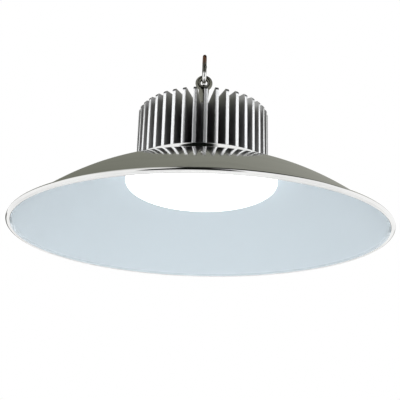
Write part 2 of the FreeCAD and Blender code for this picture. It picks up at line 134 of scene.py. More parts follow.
class HIGHBAY_FinishSettings(bpy.types.PropertyGroup):
    turned: FloatVectorProperty(
        name="Turned", description="Turned aluminium", default=(0.97, 0.98, 0.99), subtype="COLOR")
    # Extruded sides' colour: partly their duller finish, partly painted shade between the fins.
    extruded_with_painted_shade: FloatVectorProperty(
        name="Extruded", description="Extruded aluminium between the fins",
        default=(0.5, 0.5, 0.5), subtype="COLOR")
    polished: FloatVectorProperty(
        name="Polished", description="Polished aluminium", default=(0.87, 0.87, 0.86), subtype="COLOR")
    lining: FloatVectorProperty(
        name="Lining", description="Satin inside of the shade",
        default=(0.473, 0.534, 0.572), subtype="COLOR")
    opal: FloatVectorProperty(
        name="Opal", description="Diffuser", default=(0.93, 0.94, 0.94), subtype="COLOR")
    glow: FloatProperty(name="Glow", description="Light given off by the diffuser", default=1.2, min=0.0)
    plated: FloatVectorProperty(
        name="Plated", description="Bright plated steel", default=(0.17, 0.17, 0.14), subtype="COLOR")
    # Brown given to the link's top end.
    top_brown_tone: FloatVectorProperty(
        name="Tarnish", description="Browned plating", default=(0.16, 0.064, 0.03), subtype="COLOR")
    zinc: FloatVectorProperty(
        name="Zinc", description="Zinc plated steel", default=(0.58, 0.60, 0.62), subtype="COLOR")
    nickel: FloatVectorProperty(
        name="Nickel", description="Nickel plated brass", default=(0.62, 0.59, 0.52), subtype="COLOR")


class HIGHBAY_StageSettings(bpy.types.PropertyGroup):
    lens: FloatProperty(
        name="Lens", description="Focal length in millimetres on a 36 mm sensor", default=60.68)
    distance: FloatProperty(
        name="Distance", description="Camera distance from the light's axis",
        default=0.6921, unit="LENGTH")
    height: FloatProperty(
        name="Height", description="Camera height over the rim", default=-0.1848, unit="LENGTH")
    aside: FloatProperty(
        name="Aside", description="Camera offset to the right", default=-0.0011, unit="LENGTH")
    pitch: FloatProperty(
        name="Pitch", description="Camera tilt upwards", default=math.radians(18.21), subtype="ANGLE")
    roll: FloatProperty(
        name="Roll", description="Camera roll", default=math.radians(1.5), subtype="ANGLE")
    turn: FloatProperty(
        name="Turn", description="Camera turn round the light",
        default=math.radians(-1.8), subtype="ANGLE")
    floor_drop: FloatProperty(
        name="Floor", description="Floor below the rim", default=0.95, unit="LENGTH")
    side_light: FloatProperty(
        name="Side lights", description="Power of each side light", default=40.0, unit="POWER")
    top_light: FloatProperty(
        name="Top light", description="Power of the top light", default=10.0, unit="POWER")
    low_light: FloatProperty(
        name="Low light", description="Power of the light under the shade", default=12.0, unit="POWER")


def settings():
    return bpy.context.scene.highbay


class HIGHBAY_Settings(bpy.types.PropertyGroup):
    sink: PointerProperty(type=HIGHBAY_SinkSettings, name="Heat sink", description="Heat sink sizes")
    shade: PointerProperty(type=HIGHBAY_ShadeSettings, name="Shade", description="Shade sizes")
    hanger: PointerProperty(
        type=HIGHBAY_HangerSettings, name="Hanger", description="Eye bolt and link sizes")
    gland: PointerProperty(type=HIGHBAY_GlandSettings, name="Gland", description="Cable gland sizes")
    finish: PointerProperty(type=HIGHBAY_FinishSettings, name="Finish", description="Colours")
    stage: PointerProperty(
        type=HIGHBAY_StageSettings, name="Stage", description="Camera, floor and lights")


# Finishes


class Value:
    """A number socket that takes part in sums."""

    def __init__(self, tree, socket):
        self.tree = tree
        self.socket = socket

    def sum(self, operation, other, swap=False):
        pair = (other, self) if swap else (self, other)
        return self.tree.math(operation, *pair)

    def __add__(self, other):
        return self.sum("ADD", other)

    def __radd__(self, other):
        return self.sum("ADD", other, True)

    def __sub__(self, other):
        return self.sum("SUBTRACT", other)

    def __rsub__(self, other):
        return self.sum("SUBTRACT", other, True)

    def __mul__(self, other):
        return self.sum("MULTIPLY", other)


class Wiring:
    """Nodes and links under construction."""

    def __init__(self, tree):
        self.nodes = tree.nodes
        self.links = tree.links

    def feed(self, socket, value):
        if isinstance(value, Value):
            value = value.socket
        if isinstance(value, bpy.types.NodeSocket):
            self.links.new(value, socket)
        elif socket.type == "RGBA" and len(value) == 3:
            socket.default_value = (*value, 1)
        else:
            socket.default_value = value

    def node(self, kind, options=None, **inputs):
        """Adds a node; an input is given by its name, or as i and its number."""
        node = self.nodes.new(kind)
        for name, value in (options or {}).items():
            setattr(node, name, value)
        for name, value in inputs.items():
            key = int(name[1:]) if name[1:].isdigit() else name.replace("_", " ")
            self.feed(node.inputs[key], value)
        return node

    def math(self, operation, *values):
        node = self.node("ShaderNodeMath", {"operation": operation})
        for socket, value in zip(node.inputs, values):
            self.feed(socket, value)
        return Value(self, node.outputs[0])


class Shading(Wiring):
    """A shader tree under construction, its textures in the given coordinates."""

    def __init__(self, owner, place):
        owner.use_nodes = True
        super().__init__(owner.node_tree)
        self.place = self.node("ShaderNodeTexCoord").outputs[place]

    def mix(self, share, first, second):
        node = self.node("ShaderNodeMix", {"data_type": "RGBA"})
        self.feed(node.inputs[0], share)
        self.feed(node.inputs[6], first)
        self.feed(node.inputs[7], second)
        return node.outputs[2]

    def noise(self, scale, detail, stretch=(1, 1, 1)):
        place = self.node("ShaderNodeMapping", Vector=self.place, Scale=stretch).outputs[0]
        node = self.node("ShaderNodeTexNoise", Vector=place, Scale=scale, Detail=detail)
        return Value(self, node.outputs[0])

    def rings(self, scale, shift=0.0, detail=2.0):
        """Noise that varies only with the distance from the axis, as turned or spun metal has it."""
        node = self.node("ShaderNodeTexNoise", {"noise_dimensions": "1D"}, W=self.radius() * scale + shift,
                         Scale=1.0, Detail=detail)
        return Value(self, node.outputs[0])

    def band(self, value, low, high):
        """Rises from 0 at low to 1 at high, and stays there."""
        node = self.node("ShaderNodeMapRange", i0=value, i1=low, i2=high)
        return Value(self, node.outputs[0])

    def attribute(self, name):
        node = self.node("ShaderNodeAttribute", {"attribute_name": name})
        return Value(self, node.outputs["Fac"])

    def axis(self, letter):
        node = self.node("ShaderNodeSeparateXYZ", i0=self.place)
        return Value(self, node.outputs["XYZ".index(letter)])

    def radius(self):
        across, along = self.axis("X"), self.axis("Y")
        return self.math("SQRT", across * across + along * along)


class Finish(Shading):
    """A node material under construction."""

    def __init__(self, name, metallic=0.0, roughness=0.4, **steady):
        self.material = bpy.data.materials.new(name)
        super().__init__(self.material, "Object")
        self.shader = self.nodes["Principled BSDF"]
        self.set("Metallic", metallic)
        self.set("Roughness", roughness)
        for name, value in steady.items():
            self.set(name.replace("_", " ").title(), value)

    def set(self, name, value):
        self.feed(self.shader.inputs[name], value)

    def bump(self, height, distance, strength=1.0):
        node = self.node("ShaderNodeBump", Height=height, Distance=distance, Strength=strength)
        self.set("Normal", node.outputs[0])


def shade_of(colour, factor):
    return tuple(min(1.0, c * factor) for c in colour)


def make_turned_sink():
    """Extruded aluminium of matt finish, darkened as painted shade between the fins; the fins' tips turned
    bright, their top ends painted dark as a painted reflection.
    """
    tones = settings().finish
    made = Finish("turned_and_extruded_aluminium", metallic=1.0)
    turned = made.attribute("turned")
    streaks = made.noise(60, 4, (9, 9, 0.35))
    rings = made.noise(900, 2, (0.05, 0.05, 1))
    patches = made.noise(28, 3)
    bright = made.mix(streaks, shade_of(tones.turned, 0.9), tones.turned)
    # Painted reflection: the top 3 mm of each fin's tip are painted near black, standing for dark
    # surroundings reflected in the top bevel.
    painted_dark_cap_from = levels("heat_sink")[1] - 0.003
    painted_dark_cap = made.band(made.axis("Z"), painted_dark_cap_from - 0.0008, painted_dark_cap_from)
    bright = made.mix(painted_dark_cap, bright, shade_of(tones.turned, 0.08))
    # Extruded sides: their duller finish and painted shade between the fins, both in one dark colour.
    dull_and_painted_shade = made.mix(patches, shade_of(tones.extruded_with_painted_shade, 0.8), shade_of(tones.extruded_with_painted_shade, 1.15))
    made.set("Base Color", made.mix(turned, dull_and_painted_shade, bright))
    made.set("Roughness", 0.38 + patches * 0.1 - turned * (0.29 - streaks * 0.1))
    made.set("Metallic", 1.0 - turned * 0.3)
    made.bump(streaks * 0.7 + rings * turned * 0.5, 0.00004, 0.5)
    return made.material


def make_polished_disc():
    """Turned and polished aluminium, its grooves round the axis."""
    tones = settings().finish
    made = Finish("polished_turned_aluminium", metallic=1.0)
    grooves = made.rings(5200.0)
    cloud = made.noise(35, 3)
    made.set("Base Color", made.mix(cloud, shade_of(tones.polished, 0.93), tones.polished))
    made.set("Roughness", 0.05 + cloud * 0.05)
    made.bump(grooves, 0.00001, 0.4)
    return made.material


def make_shade_sheet():
    """Spun aluminium: a hazy mirror outside and on the rim, a satin lining inside."""
    tones = settings().finish
    made = Finish("spun_aluminium_sheet", metallic=1.0)
    inner = made.attribute("inner")
    spin = made.rings(900.0, detail=4.0)
    cloud = made.noise(9, 3)
    fine = made.noise(420, 2)
    haze = made.rings(60.0, cloud * 3.0, 3.0)
    outside = made.mix(haze, shade_of(tones.polished, 0.84), shade_of(tones.polished, 1.06))
    inside = made.mix(cloud, shade_of(tones.lining, 0.985), shade_of(tones.lining, 1.015))
    made.set("Base Color", made.mix(inner, outside, inside))
    made.set("Metallic", 1.0 - inner * 0.8)
    bead_inside = reach("shade") - 0.0055
    rim = made.band(made.radius(), bead_inside - 0.002, bead_inside)
    made.set("Roughness", 0.06 + cloud * 0.05 + inner * (0.40 + fine * 0.05) * (1.0 - rim) - rim * 0.05)
    made.bump(spin * (1.0 - inner * 0.6), 0.000012, 0.35)
    return made.material


def make_opal():
    """Glowing opal plastic, a little dimmer towards its rim."""
    tones = settings().finish
    made = Finish("opal_plastic", roughness=0.32, emission_strength=tones.glow)
    soft = made.noise(14, 2)
    rim = made.band(made.axis("Z"), *levels("diffuser"))
    colour = made.mix(soft, shade_of(tones.opal, 0.99), tones.opal)
    made.set("Base Color", colour)
    made.set("Emission Color", made.mix(rim, tones.opal, shade_of(tones.opal, 0.9)))
    made.bump(made.noise(700, 2), 0.00001, 0.3)
    return made.material


def make_metal(name, colour, roughness, grain):
    """Plain metal, a little cloudy at the scale of its grain."""
    made = Finish(name, metallic=1.0)
    wear = 0.12
    cloud = made.noise(grain, 4)
    fine = made.noise(grain * 14, 2)
    made.set("Base Color", made.mix(cloud, shade_of(colour, 1 - wear), shade_of(colour, 1 + wear / 2)))
    made.set("Roughness", roughness * 0.7 + cloud * roughness * 0.6)
    made.bump(fine, 0.00002, 0.5)
    return made.material


def make_plated_wire():
    """Dark plated wire, brown towards its top, its bottom in the eye given a painted highlight."""
    tones = settings().finish
    made = Finish("plated_wire_brown_top_painted_highlight", metallic=1.0)
    cloud = made.noise(110, 4)
    low, top = levels("hanging_link")
    # Browner towards the top of the link.
    brown_top = made.band(made.axis("Z") + (cloud - 0.5) * 0.008, top - 0.016, top - 0.006)
    # Painted highlight: the bottom of the link, in the eye, takes the polished colour to stand for bright
    # reflections on its wire.
    painted_highlight_low = made.band(made.axis("Z") + (cloud - 0.5) * 0.003, low + 0.012, low + 0.0095)
    plain = made.mix(cloud, shade_of(tones.plated, 0.45), shade_of(tones.plated, 0.65))
    plain = made.mix(painted_highlight_low, plain, tones.polished)
    made.set("Base Color", made.mix(brown_top, plain, tones.top_brown_tone))
    made.set("Roughness", 0.1 + cloud * 0.08 + brown_top * 0.16)
    made.bump(made.noise(1500, 2), 0.00002, 0.5)
    return made.material


def make_moulded(name, colour, roughness, grain=300.0, tint=0.06):
    """Plain plastic, rubber or ceramic with a fine grain."""
    made = Finish(name, roughness=roughness)
    cloud = made.noise(grain / 12, 3)
    made.set("Base Color", made.mix(cloud, shade_of(colour, 1 - tint), shade_of(colour, 1 + tint)))
    made.set("Roughness", roughness * 0.85 + cloud * roughness * 0.3)
    made.bump(made.noise(grain, 2), 0.00003, 0.5)
    return made.material


def make_package():
    """White package with a yellow window on the side it shines from."""
    made = Finish("phosphor_package", roughness=0.3)
    top = levels("led_chips")[0]
    window = made.band(made.axis("Z"), top + 0.0003, top)
    made.set("Base Color", made.mix(window, (0.85, 0.85, 0.82), (0.93, 0.72, 0.16)))
    made.bump(made.noise(900, 2), 0.00001, 0.4)
    return made.material


# Mesh making


def placed(name, data):
    """A new object in the scene."""
    item = bpy.data.objects.new(name, data)
    bpy.context.collection.objects.link(item)
    return item


def publish(name, mesh, material, replaces, body=BODY, sharp=35):
    """Puts a finished mesh in the scene as one piece of the light."""
    mesh.name = name
    mesh.materials.clear()
    mesh.materials.append(material)
    mesh.shade_smooth()
    mesh.set_sharp_from_angle(angle=math.radians(sharp))
    piece = placed(name, mesh)
    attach(piece, body)
    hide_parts(*replaces)


def mesh_of(bm, tidy=True):
    """The finished mesh; tidy joins doubled vertices and turns all faces outwards."""
    if tidy:
        bmesh.ops.remove_doubles(bm, verts=bm.verts, dist=1e-7)
        bmesh.ops.recalc_face_normals(bm, faces=bm.faces)
    mesh = bpy.data.meshes.new("mesh")
    bm.to_mesh(mesh)
    bm.free()
    return mesh


def bridge(bm, rings, closed=False):
    """Joins rings of vertices with quads, and closes the ends if they are open."""
    count = len(rings[0])
    pairs = list(zip(rings, rings[1:]))
    if closed:
        pairs.append((rings[-1], rings[0]))
    for first, second in pairs:
        for i in range(count):
            j = (i + 1) % count
            corners = [first[i], first[j], second[j], second[i]]
            kept = [v for k, v in enumerate(corners) if v not in corners[:k]]
            if len(kept) > 2:
                bm.faces.new(kept)
    if not closed:
        for ring in (rings[0], rings[-1]):
            if len(set(ring)) > 2:
                bm.faces.new(ring)


def round_turn(count):
    """Equally spaced angles of a full turn."""
    return [2 * math.pi * i / count for i in range(count)]


def lathe(bm, profile, segments, closed=False, centre=(0.0, 0.0), name=None, marks=()):
    """Turns a profile of (radius, height) round an upright axis; marks are stored under name."""
    layer = bm.verts.layers.float.new(name) if name else None
    rings = []
    for place, (radius, height) in enumerate(profile):
        if radius <= 0:
            vertex = bm.verts.new((centre[0], centre[1], height))
            ring = [vertex] * segments
        else:
            ring = []
            for a in round_turn(segments):
                x, y = centre[0] + radius * math.cos(a), centre[1] + radius * math.sin(a)
                ring.append(bm.verts.new((x, y, height)))
        if layer:
            for vertex in ring:
                vertex[layer] = marks[place]
        rings.append(ring)
    bridge(bm, rings, closed)


def ring_profile(inner, outer, low, high, edge):
    """A flat ring whose outer edges are broken."""
    return [(inner, low), (outer - edge, low), (outer, low + edge), (outer, high - edge),
            (outer - edge, high), (inner, high)]


def chamfer_circle(flats):
    """Radius of the circle where a hexagon's corners begin to fall away."""
    return flats / 2 * 0.97


def hexagonal(bm, flats, steps, centre=(0.0, 0.0)):
    """Rings round an upright axis; a step is (radius, height, fall): a radius of None follows
    the hexagon, and its height falls away from the chamfer's circle at that slope."""
    rings = []
    for radius, height, fall in steps:
        ring = []
        for angle in round_turn(96):
            within = math.radians((math.degrees(angle) % 60) - 30)
            side = flats / 2 / math.cos(within)
            far = side if radius is None else radius
            drop = fall * (side - chamfer_circle(flats)) if radius is None else 0
            x, y = centre[0] + far * math.cos(angle), centre[1] + far * math.sin(angle)
            ring.append(bm.verts.new((x, y, height - drop)))
        rings.append(ring)
    bridge(bm, rings, closed=True)


def finished(mesh, *modifiers):
    """The mesh after modifiers, each given as (type, settings)."""
    holder = placed("holder", mesh)
    for kind, options in modifiers:
        modifier = holder.modifiers.new(kind.lower(), kind)
        for key, value in options.items():
            setattr(modifier, key, value)
    return baked(holder)


def baked(holder):
    """The evaluated mesh of a helper object, which is removed."""
    bpy.context.view_layer.update()
    graph = bpy.context.evaluated_depsgraph_get()
    mesh = bpy.data.meshes.new_from_object(holder.evaluated_get(graph))
    old = holder.data
    holder.modifiers.clear()
    bpy.data.objects.remove(holder)
    if isinstance(old, bpy.types.Mesh) and old.users == 0:
        bpy.data.meshes.remove(old)
    return mesh


def soften(width):
    return ("BEVEL", {"width": width, "segments": 2, "limit_method": "ANGLE",
                      "angle_limit": math.radians(30), "harden_normals": False})


def dress(nodes, material):
    """Gives frame nodes that keep their own shape a material."""
    for node in nodes:
        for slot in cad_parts[node].material_slots:
            slot.material = material


# Geometry Nodes


class Tree(Wiring):
    """A Geometry Nodes tree under construction."""

    def __init__(self, name, **inputs):
        self.tree = bpy.data.node_groups.new(name, "GeometryNodeTree")
        face = self.tree.interface
        for label, kind in {"Geometry": "Geometry", **inputs, "Material": "Material"}.items():
            face.new_socket(label, in_out="INPUT", socket_type="NodeSocket" + kind)
        face.new_socket("Geometry", in_out="OUTPUT", socket_type="NodeSocketGeometry")
        super().__init__(self.tree)
        self.given = self.node("NodeGroupInput").outputs

    def finish(self, geometry):
        whole = self.node("GeometryNodeRealizeInstances", Geometry=geometry).outputs[0]
        painted = self.node("GeometryNodeSetMaterial", Geometry=whole, Material=self.given["Material"])
        self.links.new(painted.outputs[0], self.node("NodeGroupOutput").inputs[0])
        return self.tree

    def finish_with_given(self, geometry):
        """Adds the mesh that the tree is given."""
        joined = self.node("GeometryNodeJoinGeometry", Geometry=geometry)
        self.links.new(self.given["Geometry"], joined.inputs[0])
        return self.finish(joined.outputs[0])


def ring_array_tree():
    """Copies a piece round the axis."""
    made = Tree("Ring array", Count="Int", Start="Float")
    circle = made.node("GeometryNodeMeshCircle", {"fill_type": "NONE"}, Vertices=made.given["Count"],
                       Radius=0.0).outputs[0]
    step = made.math("DIVIDE", 2 * math.pi, made.given["Count"])
    index = made.node("GeometryNodeInputIndex").outputs[0]
    angle = made.math("MULTIPLY", index, step)
    turn = made.node("ShaderNodeCombineXYZ", Z=angle).outputs[0]
    copies = made.node("GeometryNodeInstanceOnPoints", Points=circle,
                       Instance=made.given["Geometry"], Rotation=turn).outputs[0]
    start = made.node("ShaderNodeCombineXYZ", Z=made.given["Start"]).outputs[0]
    whole = made.node("GeometryNodeTransform", Geometry=copies, Rotation=start).outputs[0]
    return made.finish(whole)


def wire_oval_tree():
    """Bends a wire into an upright oval and adds the weld it is given."""
    made = Tree("Wire oval", Width="Float", Length="Float", Wire="Float", Centre="Float")
    box = made.node("GeometryNodeCurvePrimitiveQuadrilateral", Width=made.given["Width"],
                    Height=made.given["Length"]).outputs[0]
    half = made.math("MULTIPLY", made.given["Width"], 0.4999)
    oval = made.node("GeometryNodeFilletCurve", {"mode": "POLY"}, Curve=box, Count=24,
                     Radius=half).outputs[0]
    oval = made.node("GeometryNodeResampleCurve", Curve=oval, Count=160).outputs[0]
    round_wire = made.node("GeometryNodeCurvePrimitiveCircle", Resolution=32,
                           Radius=made.given["Wire"]).outputs[0]
    tube = made.node("GeometryNodeCurveToMesh", Curve=oval, Profile_Curve=round_wire).outputs[0]
    place = made.node("ShaderNodeCombineXYZ", Z=made.given["Centre"]).outputs[0]
    upright = made.node("GeometryNodeTransform", Geometry=tube, Translation=place,
                        Rotation=(math.pi / 2, 0, math.pi / 2)).outputs[0]
    return made.finish_with_given(upright)


def thread_tree():
    """Winds a thread's ridge round the bolt it is given."""
    made = Tree("Thread", Radius="Float", Pitch="Float", Bottom="Float", Height="Float")
    turns = made.math("DIVIDE", made.given["Height"], made.given["Pitch"])
    depth = made.math("MULTIPLY", made.given["Pitch"], THREAD_DEPTH)
    line = made.math("SUBTRACT", made.given["Radius"], depth)
    line = made.math("ADD", line, made.math("MULTIPLY", made.given["Pitch"], 0.02))
    helix = made.node("GeometryNodeCurveSpiral", Resolution=40, Rotations=turns, Start_Radius=line,
                      End_Radius=line, Height=made.given["Height"]).outputs[0]
    ridge = made.node("GeometryNodeCurvePrimitiveCircle", Resolution=4, Radius=depth).outputs[0]
    tube = made.node("GeometryNodeCurveToMesh", Curve=helix, Profile_Curve=ridge,
                     Fill_Caps=True).outputs[0]
    place = made.node("ShaderNodeCombineXYZ", Z=made.given["Bottom"]).outputs[0]
    moved = made.node("GeometryNodeTransform", Geometry=tube, Translation=place).outputs[0]
    return made.finish_with_given(moved)


def grown(mesh, tree, material, **inputs):
    """The mesh that a tree makes from a starting mesh and named inputs."""
    holder = placed("holder", mesh)
    modifier = holder.modifiers.new("grow", "NODES")
    modifier.node_group = tree
    values = {**inputs, "Material": material}
    for item in tree.interface.items_tree:
        if item.in_out == "INPUT" and item.name in values:
            modifier[item.identifier] = values[item.name]
    return baked(holder)


# Pieces


class HIGHBAY_OT_heat_sink(bpy.types.Operator):
    """Core and radial fins of the heat sink"""

    bl_idname = "highbay.heat_sink"
    bl_label = "Heat sink"

    def execute(self, context):
        size = settings().sink
        outer = reach("heat_sink")
        bottom, top = levels("heat_sink")
        material = make_turned_sink()
        bm = bmesh.new()
        turned = bm.faces.layers.float.new("turned")
        sunk = 0.0015
        inner = size.core_radius - sunk
        profile = [(inner, bottom), (outer, bottom), (outer, top - size.chamfer),
                   (outer - size.chamfer, top), (inner, top)]
        tip_sides = (1, 2)
        sides = []
        for sign in (-1, 1):
            row = []
            for radius, height in profile:
                share = (radius - inner) / (outer - inner)
                half = (size.root + (size.tip - size.root) * share) / 2
                row.append(bm.verts.new((radius, sign * half, height)))
            sides.append(row)
        left, right = sides
        bm.faces.new(left)
        bm.faces.new(right[::-1])
        count = len(profile)
        for i in range(count):
            j = (i + 1) % count
            face = bm.faces.new((left[i], left[j], right[j], right[i]))
            if i in tip_sides:
                face[turned] = 1.0
        bmesh.ops.recalc_face_normals(bm, faces=bm.faces)
        bmesh.ops.bevel(bm, geom=bm.edges[:], offset=size.edge, segments=2, profile=0.5, affect="EDGES")
        fin = mesh_of(bm, tidy=False)
        fins = grown(fin, ring_array_tree(), material, Count=size.fin_count, Start=-math.pi / 2)
        bm = bmesh.new()
        bm.from_mesh(fins)
        bpy.data.meshes.remove(fins)
        edge = size.edge * 2
        core = bmesh.new()
        lathe(core, [(0, bottom), (size.core_radius, bottom), (size.core_radius, top - edge),
                     (size.core_radius - edge, top), (0, top)], 160)
        core_mesh = mesh_of(core)
        bm.from_mesh(core_mesh)
        bpy.data.meshes.remove(core_mesh)
        publish("heat_sink_fins_and_core", mesh_of(bm, tidy=False), material, replaces=["heat_sink"],
                sharp=25)
        return {"FINISHED"}


class HIGHBAY_OT_mounting_disc(bpy.types.Operator):
    """Turned disc between the heat sink and the shade"""

    bl_idname = "highbay.mounting_disc"
    bl_label = "Mounting disc"

    def execute(self, context):
        material = make_polished_disc()
        outer = reach("mounting_disc")
        low, high = levels("mounting_disc")
        edge = 0.0004
        bm = bmesh.new()
        arc = [(outer - edge + edge * math.sin(a), high - edge + edge * math.cos(a))
               for a in (math.radians(15 * i) for i in range(7))]
        under = [(r, low + high - z) for r, z in reversed(arc)]
        lathe(bm, [(0, high)] + arc + under + [(0, low)], 256)
        publish("mounting_disc_turned", mesh_of(bm), material, replaces=["mounting_disc"])
        return {"FINISHED"}


def shade_profile():
    """The sheet's closed section from the neck over the dome and the rolled rim and back inside,
    with 1 for each point that shows the lining."""
    size = settings().shade
    bottom, top = levels("shade")
    rim = reach("shade")
    centre = (rim - size.bead, bottom + size.bead)
    curl = size.bead - size.sheet
    turn = -size.rim_slope - math.pi / 2
    start = (size.neck_flat, top)
    end = (centre[0] + curl * math.cos(turn), centre[1] + curl * math.sin(turn))
    pull = math.dist(start, end)
    tangents = [(pull * math.cos(-s), pull * math.sin(-s)) for s in (size.neck_slope, size.rim_slope)]
    upper, under = [], []
    steps, curl_steps = 56, 26
    for i in range(steps + 1):
        t = i / steps
        place = (2 * t**3 - 3 * t**2 + 1, t**3 - 2 * t**2 + t, 3 * t**2 - 2 * t**3, t**3 - t**2)
        speed = (6 * t**2 - 6 * t, 3 * t**2 - 4 * t + 1, 6 * t - 6 * t**2, 3 * t**2 - 2 * t)
        knots = (start, tangents[0], end, tangents[1])
        r, z = (sum(w * k[axis] for w, k in zip(place, knots)) for axis in (0, 1))
        dr, dz = (sum(w * k[axis] for w, k in zip(speed, knots)) for axis in (0, 1))
        length = math.hypot(dr, dz)
        upper.append((r, z))
        under.append((r + size.sheet * dz / length, z - size.sheet * dr / length))
    arc = [turn + (size.bead_end - turn) * i / curl_steps for i in range(1, curl_steps + 1)]
    curl_in, curl_out = ([(centre[0] + r * math.cos(a), centre[1] + r * math.sin(a)) for a in arc]
                         for r in (curl, size.bead))
    flat = [(size.opening, top), (size.opening, top - size.sheet)]
    bend = (size.neck_flat - size.sheet * math.tan(size.neck_slope / 2), top - size.sheet)
    profile = [flat[0]] + upper + curl_in + curl_out[::-1] + under[:0:-1] + [bend, flat[1]]
    marks = [0.0] * (1 + len(upper) + len(curl_in) + len(curl_out)) + [1.0] * (len(under) + 1)
    return profile, marks


class HIGHBAY_OT_shade(bpy.types.Operator):
    """Spun dome with a rolled rim"""

    bl_idname = "highbay.shade"
    bl_label = "Shade"

    def execute(self, context):
        profile, marks = shade_profile()
        bm = bmesh.new()
        lathe(bm, profile, 288, closed=True, name="inner", marks=marks)
        publish("shade_dome", mesh_of(bm), make_shade_sheet(), replaces=["shade"],
                sharp=50)
        return {"FINISHED"}


class HIGHBAY_OT_diffuser(bpy.types.Operator):
    """Opal bowl under the light engine"""

    bl_idname = "highbay.diffuser"
    bl_label = "Diffuser"

    def execute(self, context):
        outer = reach("diffuser")
        low, high = levels("diffuser")
        wall, floor, crown, flat, corner = 0.0022, 0.002, 0.0005, 0.046, 0.0135
        lip = 0.0004
        corner_steps, floor_steps = 24, 8
        turn = low + crown + corner
        outside = [(outer, high - lip), (outer, turn)]
        for i in range(1, corner_steps + 1):
            a = math.radians(90 * i / corner_steps)
            outside.append((flat + (outer - flat) * math.cos(a), turn - corner * math.sin(a)))
        for i in range(1, floor_steps + 1):
            share = 1 - i / floor_steps
            outside.append((flat * share, low + crown * share**2))
        inside = [(r * (1 - wall / outer), z + floor * (1 if r < flat else (turn - z) / corner))
                  for r, z in outside[:0:-1]]
        inside += [(inside[-1][0], high), (outer - lip, high), outside[0]]
        bm = bmesh.new()
        for side in (outside, inside[::-1]):
            lathe(bm, side, 224)
            caps = [f for f in bm.faces if len(f.verts) > 4]
            bmesh.ops.delete(bm, geom=caps, context="FACES_ONLY")
        publish("diffuser_bowl", mesh_of(bm), make_opal(), replaces=["diffuser"])
        return {"FINISHED"}


def forged_eye(size, ring, eye, neck, foot):
    """Ring, flared neck and plain shank, run together as one forging."""
    bm = bmesh.new()
    circle = [(ring + size.eye_wire * math.cos(a), size.eye_wire * math.sin(a)) for a in round_turn(32)]
    lathe(bm, circle, 96, closed=True)
    upright = Matrix.Translation((0, 0, eye)) @ Matrix.Rotation(math.pi / 2, 4, "X")
    bmesh.ops.transform(bm, matrix=upright, verts=bm.verts)
    steps, flare = 14, 1.15
    widest, deepest = ring * 0.97, size.eye_wire * 0.92
    rings = []
    for i in range(steps + 1):
        share = i / steps
        across = size.bolt + (widest - size.bolt) * share**flare
        deep = size.bolt + (deepest - size.bolt) * (3 * share**2 - 2 * share**3)
        row = []
        for a in round_turn(64):
            x = across * math.cos(a)
            crest = eye - math.sqrt(max(ring**2 - x**2, 0))
            row.append(bm.verts.new((x, deep * math.sin(a), neck + (crest - neck) * share)))
        rings.append(row)
    bridge(bm, rings)
    overlap = 0.0003
    lathe(bm, [(0, foot), (size.bolt, foot), (size.bolt, neck + overlap), (0, neck + overlap)], 64)
    return finished(mesh_of(bm), ("REMESH", {"mode": "VOXEL", "voxel_size": 0.00028}),
                    ("SMOOTH", {"factor": 0.5, "iterations": 5}))


def threaded_bolt(size, solid, low, cut, material):
    """The forging above the cut and a wound thread below it."""
    bm = bmesh.new()
    bm.from_mesh(solid)
    bpy.data.meshes.remove(solid)
    bmesh.ops.bisect_plane(bm, geom=bm.verts[:] + bm.edges[:] + bm.faces[:], plane_co=(0, 0, cut),
                           plane_no=(0, 0, -1), clear_outer=True)
    bmesh.ops.holes_fill(bm, edges=[e for e in bm.edges if e.is_boundary])
    root = size.bolt - size.pitch * THREAD_DEPTH
    point, overlap = 0.0006, 0.0004
    lathe(bm, [(0, low), (root - point, low), (root, low + point), (root, cut + overlap),
               (0, cut + overlap)], 64)
    return grown(mesh_of(bm), thread_tree(), material, Radius=size.bolt - 0.00005, Pitch=size.pitch,
                 Bottom=low + size.pitch * 0.6, Height=cut - low - size.pitch)


class HIGHBAY_OT_eye_bolt(bpy.types.Operator):
    """Forged eye with its threaded shank, lock nut and washer"""

    bl_idname = "highbay.eye_bolt"
    bl_label = "Eye bolt"

    def execute(self, context):
        size = settings().hanger
        plated = make_metal("bright_plated_forging", settings().finish.plated, 0.11, 90.0)
        zinc = make_metal("zinc_plated_steel", settings().finish.zinc, 0.3, 70.0)
        low, high = levels("eye_bolt")
        outer = reach("eye_bolt")
        eye = high - outer
        neck = eye - 0.019
        nut_low, nut_top = levels("eye_lock_nut")
        solid = forged_eye(size, outer - size.eye_wire, eye, neck, nut_top)
        mesh = threaded_bolt(size, solid, low, nut_top + size.thread_top, plated)
        publish("eye_bolt_forging", mesh, plated, replaces=["eye_bolt"])
        bm = bmesh.new()
        hole, edge = size.bolt, 0.0005
        flat = chamfer_circle(size.nut_flats)
        hexagonal(bm, size.nut_flats, [
            (hole, nut_low + edge, 0), (hole + edge, nut_low, 0), (flat, nut_low, 0),
            (None, nut_low, -0.58), (None, nut_top, 0.58), (flat, nut_top, 0),
            (hole + edge, nut_top, 0), (hole, nut_top - edge, 0)])
        publish("lock_nut", finished(mesh_of(bm), soften(0.00015)), zinc, replaces=["eye_lock_nut"])
        bm = bmesh.new()
        profile = ring_profile(hole + 0.0002, reach("eye_washer"), *levels("eye_washer"), 0.0003)
        lathe(bm, profile, 96, closed=True)
        publish("flat_washer", mesh_of(bm), zinc, replaces=["eye_washer"])
        return {"FINISHED"}


